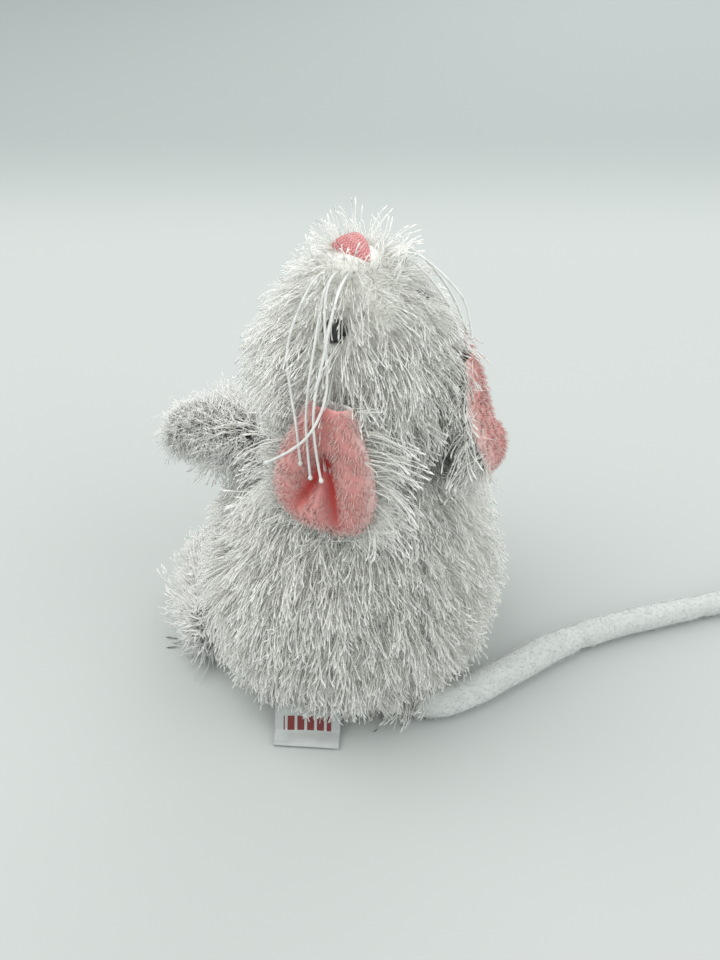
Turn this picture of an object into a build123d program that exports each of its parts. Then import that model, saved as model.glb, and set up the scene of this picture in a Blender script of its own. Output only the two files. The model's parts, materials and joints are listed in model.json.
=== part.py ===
"""A bean-filled plush mouse that sits upright with its head tipped back. Millimetres, +Z up.

The mouse faces -Y, its left side is +X, and the origin is on the floor under the middle of the body.
Each fabric skin is one solid as thick as the cloth and its pile together.
"""
import os
from math import cos, radians, sin, tan

from build123d import *

# body
body_lean = 5.4            # the body's axis leans back by this much, degrees
body_axis_y = -2.5         # where that axis meets the floor
skin = 6.0                 # cloth and pile together
base_thickness = 2.0
# (radius, height along the axis) of the body's outside, from under the floor up to the neck
body_outline = [(20.0, -6.6), (30.0, -3.6), (36.6, 3.6), (40.8, 13.0), (42.6, 26.0), (41.4, 40.0),
                (37.4, 54.0), (32.2, 66.0), (27.5, 76.0), (23.3, 83.0), (18.0, 87.0), (9.0, 88.4)]

# neck: the head turns and nods about its centre
neck_height = 92.0
body_top = 88.5
head_seat_radius = 17.0
gather_thickness = 1.7
clearance = 0.3
gather_top, gather_bottom = -17.0, -52.0   # degrees above the horizontal through the neck's centre
seam_thread_radius = 0.5

# head
head_tilt = -3.4           # the head's axis leans forward of upright by this much, degrees
head_outline = [(17.3, 2.0), (20.5, 6.0), (23.4, 11.0), (24.6, 17.0), (24.0, 24.0), (21.8, 31.0),
                (18.6, 37.5), (15.0, 43.5), (11.0, 48.5), (7.0, 51.9), (3.4, 53.4)]
head_top = 53.8
gusset_width = 13.0

# nose and eyes
nose_width, nose_length, nose_thickness = 12.5, 10.5, 2.6
nose_shift, nose_sink, nose_tilt = 1.6, 1.7, 25.0   # it sits on the snout's tip, leaning to the crown
eye_radius = 3.4
eye_height = 38.2          # along the head's axis from the neck's centre
eye_azimuth = 35.5         # degrees from the side towards the crown
eye_rise = 28.0            # slope of the eye's own axis, degrees
shank_radius, shank_length = 1.0, 8.0
washer_radius, washer_thickness = 3.8, 1.2

# ears
ear_length, ear_width, ear_root_width = 39.5, 28.0, 12.0
ear_root_height = 24.5     # along the head's axis from the neck's centre
ear_azimuth = 41.0         # where the root sits, degrees from the side towards the crown
ear_facing = 30.0          # which way the lining faces when it hangs, degrees
ear_flare = {"left": 11.0, "right": 21.0}   # how far each ear stands out from hanging straight down
ear_roll_radius = 2.4
lining_thickness = 1.2
ear_back_thickness = 2 * ear_roll_radius - lining_thickness

# limbs: the ball at the root sits in a shallow pocket in the body
arm_pivot, arm_tip = Vector(21.3, -18.9, 78.5), Vector(35.6, -36.4, 82.0)
leg_pivot, leg_tip = Vector(40.0, -20.5, 11.6), Vector(25.6, -55.4, 11.6)
arm_outline = [(6.9, 4.0), (6.5, 8.0), (7.6, 12.5), (8.4, 16.5), (7.6, 20.0), (4.9, 22.3)]
leg_outline = [(7.2, 4.5), (6.6, 9.5), (7.0, 17.0), (7.9, 24.5), (7.8, 30.0), (5.2, 35.4)]
arm_root_radius, leg_root_radius = 8.0, 8.2
limb_skin = 3.6

# tail
tail_root_radius = 5.3
tail_skin = 1.2
tail_ball_step = 0.2       # the balls at the tail's ends are this much fatter than the tube
# (x, y, radius) along the tail's middle, which lies on the floor
tail_route = [(-8.0, 46.0, 5.25), (-18.0, 47.3, 5.2), (-32.0, 48.0, 5.1), (-48.0, 48.6, 4.9),
              (-65.0, 51.5, 4.6), (-82.0, 56.5, 4.35), (-99.0, 62.5, 4.1), (-117.0, 68.5, 3.9),
              (-137.0, 72.5, 3.65), (-157.0, 73.5, 3.4), (-176.0, 72.0, 3.1)]
tail_pivot = Vector(-2.2, 43.9, tail_root_radius)

# filling
pouch_radius, pouch_bottom, pouch_height, pouch_cloth = 29.0, 3.5, 22.0, 0.8
pellet_radius, pellet_rings = 2.6, 4

# label and stitches
label_width, label_thickness = 20.4, 0.9
label_azimuth, label_offset = 50.8, 10.1   # the way it points, and how far it sits to that line's side
label_profile = [(36.0, 9.7), (40.6, 8.3), (45.6, 3.2), (49.3, 0.0)]
stitch_radius, stitch_length, stitch_count = 0.4, 5.0, 7
stitch_depth, stitch_bottom, stitch_step = 40.5, 16.0, 3.2

# whiskers: the left ones hang over the side of the head, the right ones arch out in the air
whisker_radius, whisker_bead_radius = 0.35, 0.6
whisker_routes = {
    "left_1": [(9.2, 4.6, 142.6), (13.8, 6.4, 143.0), (19.2, 7.2, 137.0), (24.8, 8.6, 127.6),
               (27.5, 14.5, 119.5), (29.0, 19.5, 111.5), (30.0, 22.0, 102.3)],
    "left_2": [(8.2, 7.6, 142.8), (12.4, 10.0, 144.0), (16.6, 14.0, 138.2), (19.8, 19.4, 129.6),
               (22.4, 23.8, 121.0), (28.4, 25.6, 113.0), (33.2, 20.8, 105.8), (36.2, 15.6, 101.2)],
    "left_3": [(6.6, 9.8, 142.8), (12.0, 14.0, 143.2), (17.4, 17.8, 136.6), (21.8, 20.6, 128.0),
               (26.0, 22.6, 119.4), (27.6, 24.8, 109.4), (27.8, 28.0, 99.6)],
    "left_4": [(9.8, 6.6, 141.4), (13.8, 9.6, 140.8), (17.8, 13.4, 135.2), (22.4, 17.2, 128.0),
               (26.2, 20.0, 119.6), (28.2, 22.2, 110.6), (29.2, 25.2, 99.4)],
    "right_1": [(-7.4, 9.0, 143.0), (-11.0, 11.8, 145.0), (-15.0, 15.0, 141.4), (-19.0, 19.2, 136.2),
                (-22.4, 22.6, 130.0), (-22.0, 24.6, 122.0)],
    "right_2": [(-5.8, 10.6, 142.8), (-9.4, 12.8, 143.8), (-12.8, 14.8, 140.0), (-15.9, 17.3, 135.2),
                (-18.2, 20.8, 129.6), (-19.6, 24.2, 120.2)],
    "right_3": [(-9.0, 6.2, 142.6), (-12.6, 8.6, 144.2), (-17.0, 10.8, 140.0), (-21.4, 13.0, 133.5),
                (-24.8, 15.6, 126.0), (-26.6, 17.6, 118.5)],
}

everything = 400.0
sides = {"left": 1, "right": -1}

body_axis = Plane((0, body_axis_y, 0), x_dir=(1, 0, 0),
                  z_dir=(0, sin(radians(body_lean)), cos(radians(body_lean))))
neck = body_axis.from_local_coords(Vector(0, 0, neck_height))
neck_frame = Plane(neck, x_dir=(1, 0, 0), z_dir=body_axis.z_dir)
head_axis = Plane(neck, x_dir=(1, 0, 0), z_dir=(0, sin(radians(head_tilt)), cos(radians(head_tilt))))


def outline_face(outline, bottom, top):
    """Half of a round section: a smooth outline of (radius, height), closed on the axis."""
    points = [(0, 0, bottom)] + [(r, 0, h) for r, h in outline] + [(0, 0, top)]
    side = Spline(points)
    return make_face([side, Line((0, 0, top), (0, 0, bottom))])


def turned(face, frame):
    """The solid that a half section makes when it is turned about a frame's Z."""
    return frame * revolve(face, Axis.Z)


def ball_and_bulge(ball_radius, outline, top):
    """A solid of revolution about Z: half a ball round the origin, then a smooth outline up to its top."""
    slant = ball_radius * sin(radians(45))
    seat = ThreePointArc((0, 0, -ball_radius), (slant, 0, -slant), (ball_radius, 0, 0))
    points = [(ball_radius, 0, 0)] + [(r, 0, h) for r, h in outline] + [(0, 0, top)]
    side = Spline(points)
    face = make_face([seat, side, Line((0, 0, top), (0, 0, -ball_radius))])
    return revolve(face, Axis.Z)


def above(height):
    return Pos(0, 0, height + everything / 2) * Box(everything, everything, everything)


def half(side):
    return Pos(side * everything / 2, 0, 0) * Box(everything, everything, everything)


def ball(centre, radius):
    return Pos(*centre) * Sphere(radius)


def mirrored(point, side):
    return Vector(point.X * side, point.Y, point.Z)


# ---- limbs

def limb(pivot, tip, outline, root_radius):
    """The outside of an arm or leg: a ball at the pivot that runs into a tube with a rounded paw."""
    along = tip - pivot
    frame = Plane(pivot, z_dir=along)
    length = along.length
    return frame * ball_and_bulge(root_radius, outline, length)


def limb_inside(pivot, tip, outline, root_radius):
    """The filling of a limb: the same shape, smaller by the skin all over."""
    along = tip - pivot
    inner = [(r - limb_skin, h) for r, h in outline if h < along.length - 1.5 * limb_skin]
    return limb(pivot, tip - along.normalized() * limb_skin, inner, root_radius - limb_skin)


limbs = {}
for side_name, side in sides.items():
    for kind, pivot, tip, outline, root in (("arm", arm_pivot, arm_tip, arm_outline, arm_root_radius),
                                            ("leg", leg_pivot, leg_tip, leg_outline, leg_root_radius)):
        ends = mirrored(pivot, side), mirrored(tip, side)
        stuffing = limb_inside(*ends, outline, root)
        limbs[f"{kind}_{side_name}_skin"] = limb(*ends, outline, root) - stuffing
        limbs[f"{kind}_{side_name}_stuffing"] = stuffing


def leg_pocket(side):
    """The dent that a leg lies in: the leg's outside, a little larger."""
    larger = [(r + clearance, h) for r, h in leg_outline]
    ends = mirrored(leg_pivot, side), mirrored(leg_tip, side)
    return limb(*ends, larger, leg_root_radius + clearance)


# ---- tail

def tail_solid(inset):
    """A tapering tube laid on the floor, with a ball at its root and a rounded end."""
    stations = [(*tail_pivot, tail_root_radius - tail_ball_step)]
    stations += [(x, y, radius, radius) for x, y, radius in tail_route]
    middle = Spline([(x, y, z) for x, y, z, radius in stations])
    sections = []
    for x, y, z, radius in stations:
        at = middle.param_at_point((x, y, z))
        sections.append(Plane(middle @ at, z_dir=middle % at) * Circle(radius - inset))
    root = ball(tail_pivot, tail_root_radius - inset)
    end = ball(middle @ 1, tail_route[-1][2] + tail_ball_step - inset)
    return loft(sections) + root + end


tail_filling = tail_solid(tail_skin)
tail_sleeve = tail_solid(0) - tail_filling

# ---- body

socket_radius = head_seat_radius + 2 * clearance + gather_thickness
socket_face = Pos(0, 0, neck_height) * Rot(90, 0, 0) * make_face(Circle(socket_radius).edges())
inner_outline = [(r - skin, h) for r, h in body_outline if h < body_top - skin]
outer_face = outline_face(body_outline, -8.0, body_top) - socket_face
inner_face = outline_face(inner_outline, -4.0, body_top - skin) - socket_face
pockets = [ball(mirrored(arm_pivot, s), arm_root_radius + clearance) for s in sides.values()]
pockets += [leg_pocket(s) for s in sides.values()]
pockets += [ball(tail_pivot, tail_root_radius + clearance)]

closing_stitches = []
for i in range(stitch_count):
    seam = body_axis.from_local_coords(Vector(0, stitch_depth, stitch_bottom + i * stitch_step))
    closing_stitches.append(Pos(*seam) * Rot(0, 90, 0) * Cylinder(stitch_radius, stitch_length))

body_outside = turned(outer_face, body_axis) & above(0)
body_inside = turned(inner_face, body_axis) & above(0)
body_skin = turned(outer_face - inner_face, body_axis) & above(0)
for pocket in pockets:
    body_skin = body_skin - pocket
for stitch in closing_stitches:
    body_skin = body_skin - stitch
base_panel = body_inside - above(base_thickness)

pouch_outline = [(pouch_radius * 0.45, pouch_bottom + 0.3), (pouch_radius * 0.82, pouch_bottom + 2.0),
                 (pouch_radius * 0.97, pouch_bottom + 5.5), (pouch_radius, pouch_bottom + 9.5),
                 (pouch_radius * 0.86, pouch_bottom + 15.5), (pouch_radius * 0.5, pouch_bottom + 20.5)]
pouch_squash = 1 - 2 * pouch_cloth / pouch_height
pouch_middle = pouch_bottom + pouch_height / 2
pouch_inner_outline = [(r - pouch_cloth, pouch_middle + (h - pouch_middle) * pouch_squash)
                       for r, h in pouch_outline]
pouch_outside = turned(outline_face(pouch_outline, pouch_bottom, pouch_bottom + pouch_height), Plane.XY)
pouch_inside = turned(outline_face(pouch_inner_outline, pouch_bottom + pouch_cloth,
                                   pouch_bottom + pouch_height - pouch_cloth), Plane.XY)
pellets = []
for ring in range(pellet_rings):
    for layer in range(2):
        spread = ring * (2 * pellet_radius + 0.3)
        count = max(1, 6 * ring)
        for k in range(count):
            turn = radians(360.0 * k / count + 30 * layer)
            spot = (spread * cos(turn), spread * sin(turn),
                    pouch_bottom + 1.6 + pellet_radius + layer * (2 * pellet_radius + 0.4))
            pellets.append(ball(spot, pellet_radius))

body_stuffing = (body_inside & above(base_thickness)) - pouch_outside
for pocket in pockets:
    body_stuffing = body_stuffing - pocket

# ---- neck

def gather_band():
    """The gathered edge of the head's opening: a band of a ball's shell, low round the neck."""
    inner = head_seat_radius + clearance
    outer = inner + gather_thickness
    corners = [(cos(radians(a)) * r, sin(radians(a)) * r)
               for r, a in ((inner, gather_bottom), (outer, gather_bottom), (outer, gather_top),
                            (inner, gather_top))]
    middle = radians((gather_top + gather_bottom) / 2)
    at = [(x, 0, z) for x, z in corners]
    face = make_face([Line(at[0], at[1]),
                      ThreePointArc(at[1], (cos(middle) * outer, 0, sin(middle) * outer), at[2]),
                      Line(at[2], at[3]),
                      ThreePointArc(at[3], (cos(middle) * inner, 0, sin(middle) * inner), at[0])])
    return neck_frame * revolve(face, Axis.Z)


thread_ring_radius = cos(radians(gather_top)) * (head_seat_radius + clearance + gather_thickness / 2)
thread_ring_height = sin(radians(gather_top)) * (head_seat_radius + clearance + gather_thickness / 2)
neck_thread = neck_frame * (Pos(0, 0, thread_ring_height + seam_thread_radius)
                            * Torus(thread_ring_radius, seam_thread_radius))
neck_gather = gather_band() - neck_thread

# ---- head

def head_solid(inset):
    """The head's outside, or its inside when inset: a ball seat below and a tapering snout above."""
    outline = [(r - inset, h) for r, h in head_outline if r > inset + 4.0]
    return head_axis * ball_and_bulge(head_seat_radius - inset, outline, head_top - inset)


def head_point(height, radius, azimuth, side):
    turn = radians(azimuth)
    return head_axis.from_local_coords(Vector(side * radius * cos(turn), radius * sin(turn), height))


def eye_frame(side):
    """A frame at the middle of an eye, with Z straight out of the head."""
    rise, turn = radians(eye_rise), radians(eye_azimuth)
    out = Vector(side * cos(turn) * cos(rise), sin(turn) * cos(rise), sin(rise))
    return Plane(head_point(eye_height, 15.6, eye_azimuth, side), z_dir=out)


def eye(side):
    shank = Pos(0, 0, -shank_length / 2) * Cylinder(shank_radius, shank_length)
    return eye_frame(side) * (Sphere(eye_radius) + shank)


def washer(side):
    disc = Pos(0, 0, -shank_length + washer_thickness) * Cylinder(washer_radius, washer_thickness)
    return eye_frame(side) * disc - eye(side)


nose_frame = head_axis * Pos(0, nose_shift, head_top - nose_sink) * Rot(-nose_tilt, 0, 0)
nose_corners = [(-nose_width / 2, -nose_length / 2), (nose_width / 2, -nose_length / 2),
                (0, nose_length / 2)]
nose_outline = fillet(make_face(Polyline(*nose_corners, close=True)).vertices(), 1.6)
nose_block = extrude(nose_outline, nose_thickness)
nose = nose_frame * fillet(nose_block.faces().sort_by(Axis.Z)[-1].edges(), 1.0)

eyes = {name: eye(side) for name, side in sides.items()}
washers = {name: washer(side) for name, side in sides.items()}
head_inside = head_solid(skin)
head_skin = head_solid(0) - head_inside - nose
head_stuffing = head_inside
for name in sides:
    head_skin = head_skin - eyes[name] - washers[name]
    head_stuffing = head_stuffing - eyes[name] - washers[name]
gusset_space = Pos(0, everything / 2 + neck.Y, 0) * Box(gusset_width, everything, everything)
head_gusset = head_skin & gusset_space
head_sides = head_skin - gusset_space

# ---- ears

def ear_frame(name):
    """A frame at an ear's root: X along the root, Y down the ear, and Z out of the pink lining."""
    side = sides[name]
    facing, flare = radians(ear_facing), radians(ear_flare[name])
    level = Vector(side * cos(facing), sin(facing), 0)
    down = level * sin(flare) + Vector(0, 0, -cos(flare))
    outward = level * cos(flare) + Vector(0, 0, sin(flare))
    root_radius = 24.2 + ear_roll_radius + clearance + 0.4
    root = head_point(ear_root_height, root_radius, ear_azimuth, side)
    return Plane(root, x_dir=down.cross(outward), z_dir=outward)


def ear_outline():
    """A teardrop, narrow at the root and round at the tip, with Y down the ear."""
    half_root, half_width = ear_root_width / 2, ear_width / 2
    right = [(half_root, 0), (half_width * 0.80, ear_length * 0.28), (half_width, ear_length * 0.62),
             (half_width * 0.62, ear_length * 0.92)]
    left = [(-x, y) for x, y in reversed(right)]
    rim = Spline(right + [(0, ear_length)] + left)
    return make_face([rim, Line(left[-1], right[0])])


ears = {}
for name in sides:
    frame = ear_frame(name)
    shift = -ear_roll_radius
    back = Pos(0, 0, shift) * extrude(ear_outline(), ear_back_thickness)
    roll = Rot(0, 90, 0) * Cylinder(ear_roll_radius, ear_root_width)
    lining = Pos(0, 0, shift + ear_back_thickness) * extrude(ear_outline(), lining_thickness)
    ears[f"ear_{name}_back"] = frame * (back + roll)
    ears[f"ear_{name}_lining"] = frame * (lining - roll)

# ---- label

label_turn = radians(label_azimuth)
label_frame = Plane((0, 0, 0), x_dir=(cos(label_turn), sin(label_turn), 0),
                    z_dir=(sin(label_turn), -cos(label_turn), 0))


def label_solid():
    """A folded ribbon caught in the bottom seam, sloping out and down to the floor."""
    top = [Vector(x, y + label_thickness) for x, y in label_profile]
    under = [Vector(x, y) for x, y in reversed(label_profile)]
    strip = make_face(Polyline(*(top + under), close=True))
    ribbon = label_frame * Pos(0, 0, label_offset - label_width / 2) * extrude(strip, label_width)
    return ribbon - body_outside


# ---- whiskers

def whisker(points):
    """A thread on a path of straight runs and arcs, with a bead of glue at its free end."""
    path_points = [Vector(*p) for p in points]
    radii = []
    for before, corner, after in zip(path_points, path_points[1:], path_points[2:]):
        turn = radians((corner - before).get_angle(after - corner))
        run = min((corner - before).length, (after - corner).length)
        radii.append(0.45 * run / tan(turn / 2))
    path = FilletPolyline(*path_points, radius=radii)
    print(f"whisker arcs, mm: {[round(r, 1) for r in radii]}, length {path.length:.1f}")
    start = Plane(path @ 0, z_dir=path % 0)
    thread = sweep(start * Circle(whisker_radius), path)
    return thread + ball(path @ 1, whisker_bead_radius)


whiskers = {f"whisker_{name}": whisker(route) for name, route in whisker_routes.items()}

# ---- the nodes

nodes = {
    "body_left_panel": body_skin & half(1),
    "body_right_panel": body_skin & half(-1),
    "base_panel": base_panel,
    "body_stuffing": body_stuffing,
    "bean_pouch": pouch_outside - pouch_inside,
    "pellets": Compound(children=pellets),
    "closing_stitches": Compound(children=closing_stitches),
    "neck_gather": neck_gather,
    "neck_seam_thread": neck_thread,
    "head_left_panel": head_sides & half(1),
    "head_right_panel": head_sides & half(-1),
    "head_gusset": head_gusset,
    "head_stuffing": head_stuffing,
    "nose_embroidery": nose,
    "tail_sleeve": tail_sleeve,
    "tail_filling": tail_filling,
    "label": label_solid(),
}
nodes |= {f"eye_{name}": eyes[name] for name in sides}
nodes |= {f"eye_{name}_washer": washers[name] for name in sides}
nodes |= limbs
nodes |= ears
nodes |= whiskers

os.makedirs("parts", exist_ok=True)
for name, solid in nodes.items():
    export_step(solid, f"parts/{name}.step")
print(f"{len(nodes)} nodes")
print("neck centre", tuple(neck), "tail pivot", tuple(tail_pivot))
for name in sides:
    frame = ear_frame(name)
    print(f"ear {name}: root {tuple(frame.origin)}, hinge axis {tuple(frame.x_dir)}")
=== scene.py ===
import json
import math
import random

import bmesh
import bpy
import numpy as np
from mathutils import Matrix, Vector, noise

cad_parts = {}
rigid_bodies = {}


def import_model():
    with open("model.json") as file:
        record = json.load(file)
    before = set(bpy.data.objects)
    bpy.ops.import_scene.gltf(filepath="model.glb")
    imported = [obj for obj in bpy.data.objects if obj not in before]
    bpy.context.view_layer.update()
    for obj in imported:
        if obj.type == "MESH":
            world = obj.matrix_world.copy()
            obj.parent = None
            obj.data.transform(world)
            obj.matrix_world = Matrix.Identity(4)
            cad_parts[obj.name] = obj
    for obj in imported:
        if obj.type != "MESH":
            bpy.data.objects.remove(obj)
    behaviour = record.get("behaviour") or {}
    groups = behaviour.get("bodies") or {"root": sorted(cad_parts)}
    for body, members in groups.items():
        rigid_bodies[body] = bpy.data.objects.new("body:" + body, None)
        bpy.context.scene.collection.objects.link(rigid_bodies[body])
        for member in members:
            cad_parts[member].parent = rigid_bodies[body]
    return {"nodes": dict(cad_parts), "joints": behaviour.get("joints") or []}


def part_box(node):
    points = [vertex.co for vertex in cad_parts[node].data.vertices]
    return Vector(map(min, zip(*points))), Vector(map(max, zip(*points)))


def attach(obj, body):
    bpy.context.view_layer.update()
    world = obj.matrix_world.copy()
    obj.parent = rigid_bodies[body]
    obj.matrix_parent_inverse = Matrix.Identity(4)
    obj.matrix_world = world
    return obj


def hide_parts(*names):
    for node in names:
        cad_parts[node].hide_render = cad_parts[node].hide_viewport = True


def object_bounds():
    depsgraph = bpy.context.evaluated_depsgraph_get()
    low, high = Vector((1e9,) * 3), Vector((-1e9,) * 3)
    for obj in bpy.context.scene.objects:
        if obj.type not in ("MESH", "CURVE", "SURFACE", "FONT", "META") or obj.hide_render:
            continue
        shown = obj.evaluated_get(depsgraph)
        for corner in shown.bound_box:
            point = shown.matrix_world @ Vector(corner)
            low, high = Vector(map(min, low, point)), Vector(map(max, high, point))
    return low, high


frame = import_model()
cadLow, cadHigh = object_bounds()
joints = {joint["name"]: joint for joint in frame["joints"]}
scene = bpy.context.scene
up = Vector((0, 0, 1))
sides = {"left": 1, "right": -1}
print("frame loaded")


# small helpers

def jointPlace(name):
    return Vector(joints[name]["pos_m"]), Vector(joints[name]["axis"]).normalized()


def smooth(low, high, value):
    t = min(1.0, max(0.0, (value - low) / (high - low)))
    return t * t * (3 - 2 * t)


def addObject(name, data):
    made = bpy.data.objects.new(name, data)
    scene.collection.objects.link(made)
    return made


def meshObject(name, vertices, faces, finish=None):
    mesh = bpy.data.meshes.new(name)
    mesh.from_pydata([tuple(v) for v in vertices], [], faces)
    mesh.validate()
    builder = bmesh.new()
    builder.from_mesh(mesh)
    bmesh.ops.remove_doubles(builder, verts=builder.verts, dist=1e-6)
    bmesh.ops.recalc_face_normals(builder, faces=builder.faces)
    builder.to_mesh(mesh)
    builder.free()
    mesh.shade_smooth()
    piece = addObject(name, mesh)
    if finish:
        mesh.materials.append(finish)
    return piece


def gridFaces(rows, columns, closed):
    faces = []
    for row in range(rows - 1):
        for column in range(columns if closed else columns - 1):
            after = (column + 1) % columns
            faces.append((row * columns + column, row * columns + after,
                          (row + 1) * columns + after, (row + 1) * columns + column))
    return faces


def plainMesh(name, carrier, finish):
    # the evaluated object becomes a plain mesh and its modifier goes
    depsgraph = bpy.context.evaluated_depsgraph_get()
    mesh = bpy.data.meshes.new_from_object(carrier.evaluated_get(depsgraph))
    mesh.name = name
    carrier.modifiers.clear()
    bpy.data.objects.remove(carrier)
    mesh.materials.clear()
    mesh.materials.append(finish)
    piece = addObject(name, mesh)
    return piece


def setInput(modifier, label, value):
    # a modifier's input goes by its socket's identifier
    for item in modifier.node_group.interface.items_tree:
        if item.item_type == "SOCKET" and item.in_out == "INPUT" and item.name == label:
            modifier[item.identifier] = value


def newTree(name, kind, inputs, outputs):
    tree = bpy.data.node_groups.new(name, kind)
    for label, socket, value in inputs:
        made = tree.interface.new_socket(label, in_out="INPUT", socket_type=f"NodeSocket{socket}")
        if value is not None:
            made.default_value = value
    for label, socket in outputs:
        tree.interface.new_socket(label, in_out="OUTPUT", socket_type=f"NodeSocket{socket}")
    return tree


def node(tree, kind, inputs=None, **settings):
    # an input given as a node is joined to that node's first output
    made = tree.nodes.new(kind)
    for key, value in settings.items():
        setattr(made, key, value)
    for key, value in (inputs or {}).items():
        if isinstance(value, bpy.types.Node):
            value = value.outputs[0]
        if isinstance(value, bpy.types.NodeSocket):
            tree.links.new(value, made.inputs[key])
        else:
            made.inputs[key].default_value = value
    return made


def reckon(tree, operation, *values):
    return node(tree, "ShaderNodeMath", dict(enumerate(values)), operation=operation)


def blend(tree, factor, low, high):
    # the colour mix node keeps its colours in sockets 6 and 7 and its result in output 2
    return node(tree, "ShaderNodeMix", {"Factor": factor, 6: low, 7: high}, data_type="RGBA").outputs[2]


def named(tree, name, kind="FLOAT"):
    return node(tree, "GeometryNodeInputNamedAttribute", {"Name": name}, data_type=kind)


def curveSpot(points, i, t):
    # a place between points i and i + 1 on the smooth line through all of them
    a, b, c, d = points[max(i - 1, 0)], points[i], points[i + 1], points[min(i + 2, len(points) - 1)]
    return 0.5 * (2 * b + (c - a) * t + (2 * a - 5 * b + 4 * c - d) * t * t + (3 * b - a - 3 * c + d) * t * t * t)


def walked(line):
    # how far along the line each of its points is
    walk = [0.0]
    for a, b in zip(line, line[1:]):
        walk.append(walk[-1] + (b - a).length)
    return walk


def stir(place, size, amount, other=up):
    # a smooth sideways wander for the way hair lies
    return Vector((amount * noise.noise(place * size), amount * noise.noise(place * size + other), 0))


# shader groups used by several finishes

def blotchGroup():
    # soft patches of a lighter and a darker tone
    tree = newTree("soft patches", "ShaderNodeTree",
                   [("Color", "Color", (0.8, 0.8, 0.8, 1)), ("Size", "Float", 120.0),
                    ("Amount", "Float", 0.15)], [("Color", "Color")])
    given = node(tree, "NodeGroupInput").outputs
    spots = node(tree, "ShaderNodeTexCoord")
    wide = node(tree, "ShaderNodeTexNoise", {"Vector": spots.outputs["Object"], "Scale": given["Size"],
                                             "Detail": 3.0, "Roughness": 0.6})
    fit = node(tree, "ShaderNodeMapRange", {"Value": wide.outputs["Fac"], "From Min": 0.32, "From Max": 0.68})
    depth = reckon(tree, "MULTIPLY", fit.outputs["Result"], given["Amount"])
    tone = node(tree, "ShaderNodeHueSaturation", {"Color": given["Color"]})
    level = reckon(tree, "SUBTRACT", 1.0, depth)
    tree.links.new(level.outputs[0], tone.inputs["Value"])
    node(tree, "NodeGroupOutput", {"Color": tone.outputs["Color"]})
    return tree


def grainGroup():
    # a fine nap or cloth grain as a surface normal
    tree = newTree("fine grain", "ShaderNodeTree",
                   [("Size", "Float", 1500.0), ("Depth", "Float", 0.0002),
                    ("Strength", "Float", 0.5)], [("Normal", "Vector"), ("Mask", "Float")])
    given = node(tree, "NodeGroupInput").outputs
    spots = node(tree, "ShaderNodeTexCoord")
    fine = node(tree, "ShaderNodeTexNoise", {"Vector": spots.outputs["Object"], "Scale": given["Size"],
                                             "Detail": 4.0, "Roughness": 0.7})
    bump = node(tree, "ShaderNodeBump", {"Height": fine.outputs["Fac"], "Distance": given["Depth"],
                                         "Strength": given["Strength"]})
    node(tree, "NodeGroupOutput", {"Normal": bump.outputs["Normal"], "Mask": fine.outputs["Fac"]})
    return tree


def weaveGroup():
    # over and under threads, from the piece's own coordinates
    tree = newTree("plain weave", "ShaderNodeTree",
                   [("Vector", "Vector", None), ("Threads", "Float", 2500.0),
                    ("Depth", "Float", 0.0001)], [("Normal", "Vector")])
    given = node(tree, "NodeGroupInput").outputs
    warp = node(tree, "ShaderNodeTexWave", {"Vector": given["Vector"], "Scale": given["Threads"],
                                            "Distortion": 0.3, "Detail": 1.0}, bands_direction="X")
    weft = node(tree, "ShaderNodeTexWave", {"Vector": given["Vector"], "Scale": given["Threads"],
                                            "Distortion": 0.3, "Detail": 1.0}, bands_direction="Y")
    both = reckon(tree, "MULTIPLY", warp.outputs["Fac"], weft.outputs["Fac"])
    bump = node(tree, "ShaderNodeBump", {"Height": both, "Distance": given["Depth"], "Strength": 0.7})
    node(tree, "NodeGroupOutput", {"Normal": bump.outputs["Normal"]})
    return tree


softPatches, fineGrain, plainWeave = blotchGroup(), grainGroup(), weaveGroup()


def group(tree, which, inputs):
    return node(tree, "ShaderNodeGroup", inputs, node_tree=which)


def newFinish(name, **settings):
    material = bpy.data.materials.new(name)
    material.use_nodes = True
    shader = material.node_tree.nodes["Principled BSDF"]
    for key, value in settings.items():
        shader.inputs[key.replace("_", " ")].default_value = value
    return material, material.node_tree


def wear(material, colour, normal=None, roughness=None):
    shader = material.node_tree.nodes["Principled BSDF"]
    for label, socket in (("Base Color", colour), ("Roughness", roughness), ("Normal", normal)):
        if socket:
            material.node_tree.links.new(socket, shader.inputs[label])
    return material


# finishes

def pileFinish(name, root, tip, patch, roughness, sheen):
    # hair: darker at its root as painted shade between the hairs, bright at its tip
    material, tree = newFinish(name, Roughness=roughness, Sheen_Weight=sheen, Sheen_Roughness=0.4,
                                       Subsurface_Weight=0.7, Subsurface_Radius=(0.5, 0.5, 0.5),
                                       Subsurface_Scale=0.004)
    along = node(tree, "ShaderNodeAttribute", attribute_name="along").outputs["Fac"]
    # root to tip: painted shade at the root fading to the hair's own colour at the tip
    rootShadeRamp = node(tree, "ShaderNodeValToRGB", {"Fac": along})
    rootShadeRamp.color_ramp.elements[0].color = (*root, 1)
    rootShadeRamp.color_ramp.elements[1].color = (*tip, 1)
    rootShadeRamp.color_ramp.elements[1].position = 0.75
    tone = group(tree, softPatches, {"Color": rootShadeRamp.outputs["Color"], "Size": 190.0, "Amount": patch})
    return wear(material, tone.outputs["Color"])


def napFinish(name, colour, patch, nap, depth, roughness=0.85, sheen=0.5):
    # short pile or fleece
    material, tree = newFinish(name, Roughness=roughness, Sheen_Weight=sheen, Sheen_Roughness=0.5)
    tone = group(tree, softPatches, {"Color": (*colour, 1), "Size": 260.0, "Amount": patch})
    grain = group(tree, fineGrain, {"Size": nap, "Depth": depth, "Strength": 0.8})
    return wear(material, tone.outputs["Color"], grain.outputs["Normal"])


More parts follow.
